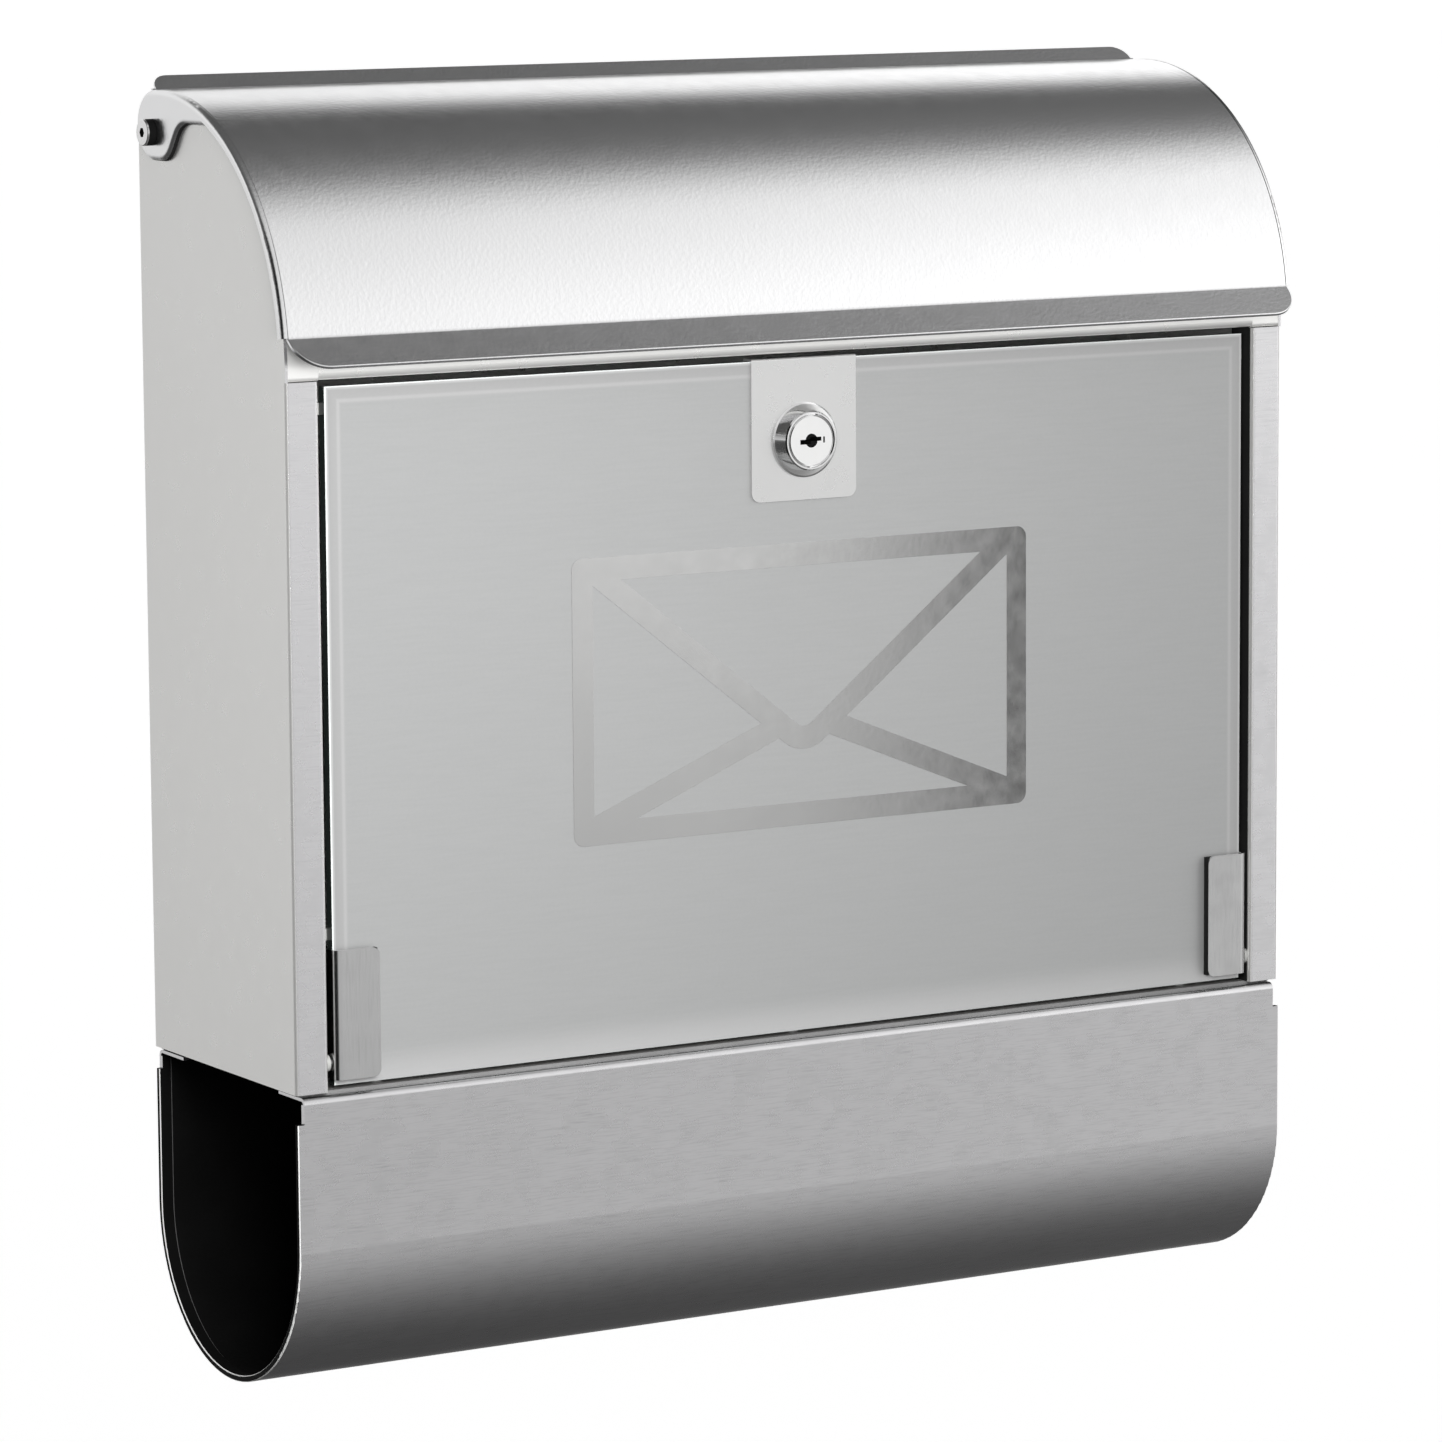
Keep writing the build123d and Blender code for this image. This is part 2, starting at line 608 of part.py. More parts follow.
def lock_housing():
    """Conical bezel on a barrel with two flats."""
    base = GLASS_FRONT - PLATE_T
    profile = Polyline((PLUG_R + RUN, 0), (BARREL_R, 0), (BEZEL_R, 0), (BEZEL_R, 0.6), (BEZEL_R - 0.5, 0.9),
                       (BEZEL_RIM_R + 0.4, BEZEL_H - 0.4), (BEZEL_RIM_R, BEZEL_H), (PLUG_R + 0.5, BEZEL_H),
                       (PLUG_R + RUN, BEZEL_H - 0.5), close=True)
    bezel = revolve(Plane.XZ * make_face(profile), Axis.Z)
    bezel = Pos(0, base, LOCK_Z) * Rot(90, 0, 0) * bezel
    barrel = along_y(Pos(0, LOCK_Z) * ring(BARREL_R, PLUG_R + RUN), base, BARREL_REAR)
    return bezel + barrel


def lock_washer():
    return along_y(Pos(0, LOCK_Z) * ring(LOCK_WASHER_R, BARREL_R + 0.1), PAN_REAR, PAN_REAR + LOCK_WASHER_T)


def lock_nut():
    nut = Pos(0, LOCK_Z) * (RegularPolygon(LOCK_NUT_R, 6) - Circle(BARREL_R + 0.05))
    face = PAN_REAR + LOCK_WASHER_T
    return along_y(nut, face, face + LOCK_NUT_T)


def envelope_sign():
    """Envelope pictogram: frame, flap lines and lower fold lines in one thin sheet."""
    width = 2 * SIGN_HALF_W
    height = SIGN_Z[1] - SIGN_Z[0]
    middle = Pos(0, sum(SIGN_Z) / 2)
    outline = middle * RectangleRounded(width, height, SIGN_CORNER_R)
    window = middle * Rectangle(width - 2 * SIGN_STROKE, height - 2 * SIGN_STROKE)
    valley = FilletPolyline((-FLAP_TOP[0], FLAP_TOP[1]), (0, FLAP_TIP_Z), FLAP_TOP, radius=FLAP_TIP_R)
    flap = make_face(valley.offset_2d(SIGN_STROKE / 2, kind=Kind.ARC, side=Side.BOTH))
    lines = flap
    for s in (-1, 1):
        start = Vector(s * FOLD_LINE[0][0], FOLD_LINE[0][1])
        finish = Vector(s * FOLD_LINE[1][0], FOLD_LINE[1][1])
        run = finish - start
        turn = Rot(0, 0, degrees(atan2(run.Y, run.X)))
        stroke = Pos(*((start + finish) / 2)) * turn * Rectangle(run.length, SIGN_STROKE)
        lines += stroke
    sign = (outline - window) + (lines & outline)
    return along_y(sign, GLASS_FRONT - SIGN_T, GLASS_FRONT)


def door_hinge_bush():
    """Plastic bush in the strip's return fold, its collar in the gap beside the clamp."""
    inner = HALF_W - STRIP_W
    collar = along_x(Pos(HINGE_Y, HINGE_Z) * ring(BUSH_COLLAR_R, SPIGOT_R + RUN), -inner, -inner + 1.2)
    sleeve = along_x(Pos(HINGE_Y, HINGE_Z) * ring(BUSH_R, SPIGOT_R + RUN), -inner - 2.2, -inner)
    return collar + sleeve


def door_stop(z):
    """Pale pad on the return fold that the glass's edge closes against."""
    inner = HALF_W - STRIP_W
    y = (GLASS_REAR + 0.3, GLASS_REAR + 3.3)
    pad = block((-inner, -inner + STOP_W), y, (z - STOP_H / 2, z + STOP_H / 2))
    return fillet(pad.edges().filter_by(Axis.Y).filter_by(lambda e: e.center().X > -inner + 1), 0.8)


# ---- lock core ------------------------------------------------------------------------------

def slots(rectangles):
    """Sketch of rectangles, each given by its centre and its size."""
    sketch = Sketch()
    for centre, size in rectangles:
        sketch += Pos(*centre) * Rectangle(*size)
    return sketch


def lock_plug():
    """Turning core: keyhole in front, square shank behind for the cam."""
    face = GLASS_FRONT - PLATE_T - BEZEL_H + 0.1
    core = rod_y(PLUG_R, face, BARREL_REAR, 0, LOCK_Z)
    core = chamfer(core.edges().sort_by(Axis.Y)[0], 0.35)
    shank = block((-PLUG_SQUARE, PLUG_SQUARE), (BARREL_REAR, CAM_FRONT + CAM_T - 0.1),
                  (LOCK_Z - PLUG_SQUARE, LOCK_Z + PLUG_SQUARE))
    keyway, mark = [Pos(0, LOCK_Z) * sketch for sketch in
                    (slots(KEYWAY), slots((INDEX_MARK,)))]
    keyway = along_y(keyway, face - 1, face + 6)
    mark = along_y(mark, face - 1, face + 0.3)
    recess = rod_y(KEYWAY_RECESS_R, face - 1, face + 0.6, 0, LOCK_Z)
    hole = rod_y(CAM_SCREW_R + 0.05, CAM_FRONT - 5, 0, 0, LOCK_Z)
    return core + shank - keyway - recess - mark - hole


def lock_cam():
    """Cam plate: round hub with a square hole, straight arm with a rounded tip."""
    hub = Circle(CAM_HUB_R) + Pos(CAM_REACH / 2 - 4, 0) * Rectangle(CAM_REACH - 8, CAM_W)
    arm = hub + Pos(CAM_REACH - 8, 0) * RectangleRounded(16.0, CAM_W, 3.0)
    square = 2 * PLUG_SQUARE + 0.2
    return along_y(Pos(0, LOCK_Z) * (arm - Rectangle(square, square)), CAM_FRONT, CAM_FRONT + CAM_T)


def cam_screw():
    rear = CAM_FRONT + CAM_T
    head = rod_y(CAM_HEAD_R, rear, rear + 1.6, 0, LOCK_Z)
    head = fillet(head.edges().sort_by(Axis.Y)[-1], 0.5)
    socket = along_y(Pos(0, LOCK_Z) * RegularPolygon(2.0, 6), rear + 0.5, rear + 3)
    return head + rod_y(CAM_SCREW_R, rear - 5, rear, 0, LOCK_Z) - socket


def main():
    os.makedirs("parts", exist_ok=True)
    left_side = side_panel()
    left_cheek = lid_cheek()
    left_bracket = hinge_bracket()
    pieces = {
        "back_panel": back_panel(),
        "left_side_panel": left_side,
        "right_side_panel": mirror(left_side, about=Plane.YZ),
        "header_rail": header_rail(),
        "floor_panel": floor_panel(),
        "newspaper_tray": newspaper_tray(),
        "tray_rivets": tray_rivets(),
        "lid_pivot_bolts": group(both_sides(pivot_bolt())),
        "lid_pivot_bushes": group(both_sides(pivot_bush())),
        "lid_pivot_washers": group(both_sides(pivot_washer())),
        "lid_pivot_nuts": group(both_sides(pivot_nut())),
        "lid_bumpers": group([lid_bumper(x) for x in (-BUMPER_X, BUMPER_X)]),
        "door_hinge_bushes": group(both_sides(door_hinge_bush())),
        "door_stops": group([pad for z in STOP_Z for pad in both_sides(door_stop(z))]),
        "lid_shell": lid_shell(),
        "lid_cheek_left": left_cheek,
        "lid_cheek_right": mirror(left_cheek, about=Plane.YZ),
        "door_glass": door_glass(),
        "door_backplate": door_backplate(),
        "glass_tape": glass_tape(),
        "hinge_bracket_left": left_bracket,
        "hinge_bracket_right": mirror(left_bracket, about=Plane.YZ),
        "bracket_pads": bracket_pads(),
        "bracket_screws": bracket_screws(),
        "lock_plate": lock_plate(),
        "lock_housing": lock_housing(),
        "lock_washer": lock_washer(),
        "lock_nut": lock_nut(),
        "envelope_sign": envelope_sign(),
        "lock_plug": lock_plug(),
        "lock_cam": lock_cam(),
        "cam_screw": cam_screw(),
    }
    for name, shape in pieces.items():
        save(shape, name)


main()
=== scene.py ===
import json
from math import cos, hypot, pi, radians, sin

import bpy
from mathutils import Matrix, Vector


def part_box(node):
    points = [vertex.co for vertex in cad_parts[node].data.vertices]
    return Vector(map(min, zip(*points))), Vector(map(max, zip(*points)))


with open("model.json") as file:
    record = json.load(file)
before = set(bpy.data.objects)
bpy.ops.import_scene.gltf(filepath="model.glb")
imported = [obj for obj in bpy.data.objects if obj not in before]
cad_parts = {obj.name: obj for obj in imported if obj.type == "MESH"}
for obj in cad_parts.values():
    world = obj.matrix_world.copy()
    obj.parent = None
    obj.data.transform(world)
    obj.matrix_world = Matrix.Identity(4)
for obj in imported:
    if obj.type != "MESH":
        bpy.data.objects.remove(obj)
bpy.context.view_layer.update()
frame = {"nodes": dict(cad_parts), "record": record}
nodes = frame["nodes"]
scene = bpy.context.scene


# ---- node helpers ---------------------------------------------------------------------------

MIX_A, MIX_B, MIX_RESULT = 6, 7, 2    # the colour sockets of a Mix node


def link(tree, source, target):
    tree.links.new(source, target)


def grey(tone):
    return (tone, tone, tone)


def math_node(tree, operation, a, b=None):
    """One Math node; a and b are sockets or numbers."""
    node = tree.nodes.new("ShaderNodeMath")
    node.operation = operation
    for socket, value in zip(node.inputs, (a, b)):
        if value is None:
            continue
        if isinstance(value, (int, float)):
            socket.default_value = value
        else:
            link(tree, value, socket)
    return node.outputs[0]


def map_range(tree, value, source, target, smooth=False):
    """Clamped change from one range of values to another."""
    node = tree.nodes.new("ShaderNodeMapRange")
    node.clamp = True
    if smooth:
        node.interpolation_type = "SMOOTHSTEP"
    link(tree, value, node.inputs["Value"])
    for name, number in zip(("From Min", "From Max", "To Min", "To Max"), (*source, *target)):
        node.inputs[name].default_value = number
    return node.outputs["Result"]


def ramp(tree, value, stops):
    """Linear ramp of greys, from a list of (position, tone)."""
    node = tree.nodes.new("ShaderNodeValToRGB")
    node.color_ramp.interpolation = "LINEAR"
    elements = node.color_ramp.elements
    while len(elements) < len(stops):
        elements.new(0.5)
    for element, (position, tone) in zip(elements, stops):
        element.position = position
        element.color = (*grey(tone), 1.0)
    link(tree, value, node.inputs["Fac"])
    return node.outputs["Color"]


def mix_colour(tree, factor, a, b):
    """Mix of two colours, each a socket or a tuple."""
    node = tree.nodes.new("ShaderNodeMix")
    node.data_type = "RGBA"
    link(tree, factor, node.inputs["Factor"])
    for index, value in ((MIX_A, a), (MIX_B, b)):
        socket = node.inputs[index]
        if isinstance(value, tuple):
            socket.default_value = (*value, 1.0)
        else:
            link(tree, value, socket)
    return node.outputs[MIX_RESULT]


def noise(tree, coords, scale, detail=2.0, stretch=(1.0, 1.0, 1.0), roughness=0.5):
    """Noise in object space; stretch scales each axis before the noise."""
    mapping = tree.nodes.new("ShaderNodeMapping")
    mapping.inputs["Scale"].default_value = stretch
    link(tree, coords, mapping.inputs["Vector"])
    node = tree.nodes.new("ShaderNodeTexNoise")
    node.inputs["Scale"].default_value = scale
    node.inputs["Detail"].default_value = detail
    node.inputs["Roughness"].default_value = roughness
    link(tree, mapping.outputs["Vector"], node.inputs["Vector"])
    return node.outputs["Fac"]


def bump(tree, height, distance, normal=None):
    """Bump of the given height in metres, on top of another normal if there is one."""
    node = tree.nodes.new("ShaderNodeBump")
    node.inputs["Strength"].default_value = 1.0
    node.inputs["Distance"].default_value = distance
    link(tree, height, node.inputs["Height"])
    if normal is not None:
        link(tree, normal, node.inputs["Normal"])
    return node.outputs["Normal"]


def new_material(name):
    """A material with its tree, its shader and its object-space coordinates."""
    material = bpy.data.materials.new(name)
    material.use_nodes = True
    tree = material.node_tree
    shader = tree.nodes["Principled BSDF"]
    coords = tree.nodes.new("ShaderNodeTexCoord").outputs["Object"]
    return material, tree, shader, coords


# ---- materials ------------------------------------------------------------------------------

FINE_SCALE = 160.0        # cells per metre of the roughness noise
FINE_RANGE = (0.3, 0.7)   # the part of a noise's range that is used
GRAIN_LINE = (0.52, 0.30)  # grain noise from the flat sheet to the bottom of a line


def metal(name, dark, light, rough, grain=None, peel=None, cloud=9.0, metallic=1.0, worn=0.92):
    """Sheet metal: cloudy tone, varying roughness, optional brush grain and orange peel.

    grain is (axis stretch, lines per metre, height); peel is (cells per metre, height).
    worn scales the tone of the deepest grain lines."""
    material, tree, shader, coords = new_material(name)
    shader.inputs["Metallic"].default_value = metallic
    tone = mix_colour(tree, noise(tree, coords, cloud, 3.0), dark, light)
    fine = noise(tree, coords, FINE_SCALE, 3.0)
    normal = None
    if peel:
        normal = bump(tree, noise(tree, coords, peel[0], 1.5), peel[1])
    if grain:
        lines = noise(tree, coords, grain[1], 3.0, grain[0], 0.7)
        deepest = tuple(worn * channel for channel in dark)
        tone = mix_colour(tree, map_range(tree, lines, GRAIN_LINE, (0.0, 1.0)), tone, deepest)
        normal = bump(tree, lines, grain[2], normal=normal)
    link(tree, tone, shader.inputs["Base Color"])
    link(tree, map_range(tree, fine, FINE_RANGE, rough), shader.inputs["Roughness"])
    if normal is not None:
        link(tree, normal, shader.inputs["Normal"])
    return material


BLACK_BELOW = 0.02        # base colour under which a surface is matt black
BLACK_SPECULAR = 0.12


def plastic(name, dark, light, rough, height=0.00002, scale=900.0):
    """Plastic, rubber, glass edge finish, painted shade or painted highlight: cloudy tone and a fine texture
    of the given height.
    """
    material, tree, shader, coords = new_material(name)
    if light[0] < BLACK_BELOW:
        shader.inputs["Specular IOR Level"].default_value = BLACK_SPECULAR
    fine = noise(tree, coords, scale, 2.0)
    link(tree, mix_colour(tree, noise(tree, coords, 60.0, 2.0), dark, light), shader.inputs["Base Color"])
    link(tree, map_range(tree, fine, FINE_RANGE, rough), shader.inputs["Roughness"])
    link(tree, bump(tree, fine, height), shader.inputs["Normal"])
    return material


GRAIN_X = (0.06, 1.0, 1.0)    # brush lines along X
GRAIN_Z = (1.0, 1.0, 0.05)    # and along Z

side_sheet = metal("side_sheet", (0.88, 0.878, 0.86), (0.92, 0.915, 0.90), (0.27, 0.31),
                   peel=(650.0, 0.000005), metallic=0.75)
case_sheet = metal("case_sheet", (0.91, 0.905, 0.92), (0.96, 0.955, 0.965), (0.24, 0.30),
                   grain=(GRAIN_X, 1900.0, 0.000002), worn=0.96)
tray_sheet = metal("tray_sheet", (0.77, 0.765, 0.775), (0.82, 0.815, 0.825), (0.25, 0.31),
                   grain=(GRAIN_X, 1700.0, 0.000004), worn=0.91)
lid_sheet = metal("lid_sheet", (0.94, 0.94, 0.945), (0.975, 0.975, 0.98), (0.19, 0.24),
                  peel=(820.0, 0.000036))
bracket_steel = metal("bracket_steel", (0.76, 0.76, 0.76), (0.80, 0.80, 0.80), (0.20, 0.25),
                      grain=(GRAIN_Z, 2400.0, 0.0000008), worn=0.96)
plate_steel = metal("plate_steel", (0.75, 0.75, 0.745), (0.80, 0.80, 0.795), (0.26, 0.33),
                    peel=(900.0, 0.000004), metallic=0.85)
sign_foil = metal("sign_foil", (0.74, 0.74, 0.735), (0.81, 0.81, 0.805), (0.09, 0.13), cloud=40.0,
                  peel=(500.0, 0.000003))
bolt_steel = metal("bolt_steel", (0.90, 0.90, 0.90), (0.95, 0.95, 0.95), (0.14, 0.20), cloud=300.0,
                   peel=(1500.0, 0.000002))
fastener_steel = metal("fastener_steel", (0.60, 0.60, 0.60), (0.74, 0.74, 0.73), (0.22, 0.34), cloud=300.0,
                       peel=(1500.0, 0.000006))
lock_chrome = metal("lock_chrome", (0.90, 0.90, 0.90), (0.96, 0.96, 0.96), (0.05, 0.09), cloud=120.0,
                    peel=(600.0, 0.000002))
plug_face = metal("plug_face", (0.82, 0.82, 0.815), (0.87, 0.87, 0.865), (0.30, 0.38), cloud=200.0,
                  peel=(2500.0, 0.000002), metallic=0.7)
# painted shade: near-black for hollows and undersides where shade falls (tray inside, floor underside, bolt
# sockets, keyway)
deep_shade_paint = plastic("deep_shade_paint", (0.003, 0.003, 0.003), (0.006, 0.006, 0.006), (0.60, 0.75))
# painted shade in the gaps round the door and under the lid's ears, and a painted dark reflection on the
# clamps' cut edges
shade_and_dark_reflection_paint = plastic("shade_and_dark_reflection_paint", (0.010, 0.010, 0.010), (0.016, 0.016, 0.016), (0.55, 0.70))
glass_side = plastic("glass_side", (0.020, 0.026, 0.024), (0.035, 0.042, 0.039), (0.12, 0.20), 0.000004)
# painted highlight: a light matt line for the bright bend along the tray's rim
rim_highlight_paint = plastic("rim_highlight_paint", (0.80, 0.80, 0.79), (0.90, 0.90, 0.89), (0.25, 0.35), 0.000004)
# painted shade: dim grey for the tray's hem bevels inside its shade and the floor panel's front edge in the
# gap under the door
dim_edge_shade_paint = plastic("dim_edge_shade_paint", (0.16, 0.16, 0.16), (0.24, 0.24, 0.24), (0.35, 0.50), 0.000004)
glass_bevel = plastic("glass_bevel", (0.74, 0.77, 0.76), (0.82, 0.85, 0.84), (0.12, 0.20), 0.000002)
black_nylon = plastic("black_nylon", (0.004, 0.004, 0.004), (0.008, 0.008, 0.008), (0.50, 0.65))
black_rubber = plastic("black_rubber", (0.010, 0.010, 0.010), (0.018, 0.018, 0.018), (0.65, 0.80))
pale_nylon = plastic("pale_nylon", (0.34, 0.34, 0.33), (0.42, 0.42, 0.41), (0.35, 0.50))
tape_foam = plastic("tape_foam", (0.20, 0.20, 0.20), (0.28, 0.28, 0.28), (0.75, 0.90), 0.00008, 1400.0)


EDGE_BAND = 0.01                 # border of the glass, ramped inwards from its edge
EDGE_STOPS = [(0.0, 0.56), (0.07, 0.53), (0.12, 0.40), (0.36, 0.42), (0.42, 0.475), (0.47, 0.475),
              (0.53, 0.44)]
FIELD_FROM = (0.0048, 0.0056)    # where the border gives way to the etched field
FOOT = (0.0006, 0.012)           # lighter strip along the bottom
FOOT_TONE = 0.62
GLASS_LINES = (0.62, 0.34)       # noise from the plain backing to a full brush line in it


def satin_glass():
    """Etched glass over a silver backing, with a clear border inside its polished edge."""
    material, tree, shader, coords = new_material("satin_glass")
    low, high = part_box("door_glass")
    split = tree.nodes.new("ShaderNodeSeparateXYZ")
    link(tree, coords, split.inputs["Vector"])
    x, z = split.outputs["X"], split.outputs["Z"]
    from_side = math_node(tree, "SUBTRACT", high.x, math_node(tree, "ABSOLUTE", x))
    from_top = math_node(tree, "SUBTRACT", high.z, z)
    from_bottom = math_node(tree, "SUBTRACT", z, low.z)
    inset = math_node(tree, "MINIMUM", from_side, from_top)
    fine = noise(tree, coords, 900.0, 3.0)
    cloud = noise(tree, coords, 7.0, 3.0)
    field = mix_colour(tree, cloud, (0.405, 0.41, 0.41), (0.430, 0.433, 0.432))
    lines = map_range(tree, noise(tree, coords, 1100.0, 3.0, GRAIN_X, 0.7), GLASS_LINES, (0.0, 1.0))
    field = mix_colour(tree, math_node(tree, "MULTIPLY", lines, 0.5), field, (0.395, 0.398, 0.398))
    border = ramp(tree, map_range(tree, inset, (0.0, EDGE_BAND), (0.0, 1.0)), EDGE_STOPS)
    tone = mix_colour(tree, map_range(tree, inset, FIELD_FROM, (0.0, 1.0)), border, field)
    foot = map_range(tree, from_bottom, FOOT, (1.0, 0.0), smooth=True)
    tone = mix_colour(tree, math_node(tree, "MULTIPLY", foot, 0.5), tone, grey(FOOT_TONE))
    link(tree, tone, shader.inputs["Base Color"])
    link(tree, map_range(tree, fine, FINE_RANGE, (0.42, 0.52)), shader.inputs["Roughness"])
    shader.inputs["Metallic"].default_value = 0.5
    shader.inputs["Coat Weight"].default_value = 0.15
    shader.inputs["Coat Roughness"].default_value = 0.25
    link(tree, bump(tree, fine, 0.00001), shader.inputs["Normal"])
    return material


glass = satin_glass()

finish = {
    "painted_sheet": side_sheet, "lid_paint": lid_sheet, "brushed_sheet": case_sheet,
    "bracket_steel": bracket_steel, "fastener_steel": fastener_steel, "lock_chrome": lock_chrome,
    "satin_glass": glass, "sign_foil": sign_foil, "black_nylon": black_nylon,
    "pale_nylon": pale_nylon, "black_rubber": black_rubber,
}
own_finish = {
    "newspaper_tray": tray_sheet, "lock_plate": plate_steel, "glass_tape": tape_foam,
    "lid_pivot_bolts": bolt_steel,
}

for piece in frame["record"]["subparts"]:
    name = piece["node"]
    mesh = nodes[name].data
    mesh.materials.clear()
    mesh.materials.append(own_finish.get(name, finish[piece["material_slot"]]))


def paint(name, material, chosen):
    """Gives a second material to the faces of one piece that chosen(face) picks."""
    mesh = nodes[name].data
    mesh.materials.append(material)
    for face in mesh.polygons:
        if chosen(face):
            face.material_index = len(mesh.materials) - 1


FACING = 0.9              # part of a normal along an axis that the face looks along
SIDES = ("left_side_panel", "right_side_panel")

# the front strips are the brushed finish, the outer side face keeps the painted one
for name in SIDES:
    paint(name, case_sheet, lambda face: face.normal.y < -FACING)

# inside of the tray and the floor above it are painted black as shade; its rim (painted highlight) and hems
# (dim painted shade) show a thin lighter line
SKIN = 0.0006             # over half of the sheet's thickness, so only its inner faces count
RIM_DEPTH = 0.0005
RIM_BEVEL = (-0.001, 0.0006)   # distances from the tray's end
HEM_BEVEL = (0.003, 0.006)
tray_low, tray_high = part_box("newspaper_tray")
tray_radius = (tray_high.y - tray_low.y) / 2
tray_mid_y = (tray_low.y + tray_high.y) / 2
tray_mid_z = tray_low.z + tray_radius


def inside_tray(face):
    y = face.center.y - tray_mid_y
    z = face.center.z - tray_mid_z
    reach = hypot(y, z) if z < 0 else abs(y)
    return reach < tray_radius - SKIN and face.center.z < tray_high.z - SKIN and abs(face.normal.x) < 0.5


def tray_shade_faces(face):
    rim = abs(face.normal.x) > FACING and abs(face.center.x) > tray_high.x - RIM_DEPTH
    return inside_tray(face) or rim


def slanted(face, inset_range):
    """A bevel across the tray's length, within two distances from its end."""
    inset = tray_high.x - abs(face.center.x)
    return 0.25 < abs(face.normal.x) < FACING and inset_range[0] < inset < inset_range[1]


paint("newspaper_tray", deep_shade_paint, tray_shade_faces)
paint("newspaper_tray", rim_highlight_paint, lambda face: slanted(face, RIM_BEVEL))
paint("newspaper_tray", dim_edge_shade_paint, lambda face: slanted(face, HEM_BEVEL))
FLOOR_LIP = 0.002         # depth of the floor panel's front edge
# painted shade: the floor's underside black, its front edge dim grey for the gap between door and tray
paint("floor_panel", deep_shade_paint, lambda face: face.normal.z < -0.5)
floor_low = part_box("floor_panel")[0]
paint("floor_panel", dim_edge_shade_paint, lambda face: face.center.y < floor_low.y + FLOOR_LIP and face.normal.z > -0.5)

# behind the strips and the header rail the sheet is painted dark as shade, so the gaps round the door read
# black
FOLD_REACH = 0.0095       # how far the strips' return folds stand inwards of the side panel
BEHIND_STRIP = 0.0014
BEHIND_RAIL = 0.0036
RAIL_UNDERSIDE = 0.0012
strip_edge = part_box("left_side_panel")[1].x
case_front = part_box("left_side_panel")[0].y
for name in SIDES:
    paint(name, shade_and_dark_reflection_paint, lambda face: abs(face.center.x) < abs(strip_edge) + FOLD_REACH
          and face.center.y > case_front + BEHIND_STRIP)
rail_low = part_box("header_rail")[0]
paint("header_rail", shade_and_dark_reflection_paint, lambda face: face.center.y > rail_low.y + BEHIND_RAIL
      or (face.center.z < rail_low.z + RAIL_UNDERSIDE and face.normal.z < -0.8))

# glass: dark polished sides, bright bevels
paint("door_glass", glass_side, lambda face: abs(face.normal.y) < 0.3)
paint("door_glass", glass_bevel, lambda face: 0.3 < abs(face.normal.y) < 0.95)

# clamps: their cut inner edges are painted dark, a painted dark reflection
CLAMP_INNER_X = 0.1545
for name in ("hinge_bracket_left", "hinge_bracket_right"):
    paint(name, shade_and_dark_reflection_paint, lambda face: abs(face.normal.x) > 0.8 and abs(face.center.x) < CLAMP_INNER_X)

# lid cheeks: outer face and rolled edge are bright, the ear's cut edge and the inside are painted dark as the
# shade of the gap between ear and case side
EAR_ABOVE_PIVOT = 0.004
EAR_FRONT_Y = -0.060
washer_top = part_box("lid_pivot_washers")[1].z
for name in ("lid_cheek_left", "lid_cheek_right"):
    paint(name, shade_and_dark_reflection_paint, lambda face: face.normal.x * face.center.x < -0.05
          or (abs(face.normal.x) < 0.5 and face.center.z < washer_top + EAR_ABOVE_PIVOT
              and face.center.y > EAR_FRONT_Y and face.normal.y < 0.3 and face.normal.z < 0.2))

# pivot bolts: socket painted black as shade; lock plug: satin face, keyway painted black as shade
SOCKET_DEPTH = 0.0007
SOCKET_R = 0.00165
ON_FACE = 0.00001         # nearer to the end than this is the head's own face
KEYWAY_R = 0.0062
KEYWAY_DEPTH = 0.008
PLUG_SKIN = 0.0001
bolt_low, bolt_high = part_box("lid_pivot_bolts")
bolt_y = (bolt_low.y + bolt_high.y) / 2
bolt_z = (bolt_low.z + bolt_high.z) / 2
paint("lid_pivot_bolts", deep_shade_paint, lambda face: abs(face.center.x) > bolt_high.x - SOCKET_DEPTH
      and hypot(face.center.y - bolt_y, face.center.z - bolt_z) < SOCKET_R
      and abs(face.center.x) < bolt_high.x - ON_FACE)
plug_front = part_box("lock_plug")[0].y
plug_z = (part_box("lock_washer")[0].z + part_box("lock_washer")[1].z) / 2


def plug_radius(face):
    return hypot(face.center.x, face.center.z - plug_z)


paint("lock_plug", plug_face, lambda face: face.normal.y < -FACING and face.center.y < plug_front + PLUG_SKIN)
paint("lock_plug", deep_shade_paint, lambda face: plug_radius(face) < KEYWAY_R
      and plug_front + PLUG_SKIN < face.center.y < plug_front + KEYWAY_DEPTH)

# ---- floor ----------------------------------------------------------------------------------

FLOOR_Z = -1.6
FLOOR_HALF = 40.0
FLOOR_GLOW = 0.62
floor_mesh = bpy.data.meshes.new("floor")
corners = [(-FLOOR_HALF, -FLOOR_HALF, FLOOR_Z), (FLOOR_HALF, -FLOOR_HALF, FLOOR_Z),
           (FLOOR_HALF, FLOOR_HALF, FLOOR_Z), (-FLOOR_HALF, FLOOR_HALF, FLOOR_Z)]
floor_mesh.from_pydata(corners, [], [(0, 1, 2, 3)])
floor = bpy.data.objects.new("floor", floor_mesh)
scene.collection.objects.link(floor)
material, tree, shader, coords = new_material("floor_pale")
link(tree, mix_colour(tree, noise(tree, coords, 0.7, 2.0), (0.93, 0.93, 0.93), (0.95, 0.95, 0.95)),
     shader.inputs["Base Color"])
shader.inputs["Roughness"].default_value = 0.9
shader.inputs["Emission Color"].default_value = (1.0, 1.0, 1.0, 1.0)
shader.inputs["Emission Strength"].default_value = FLOOR_GLOW
floor_mesh.materials.append(material)
floor.visible_glossy = False
floor.visible_diffuse = False

# ---- studio ---------------------------------------------------------------------------------

STUDIO_GAIN = 1.15
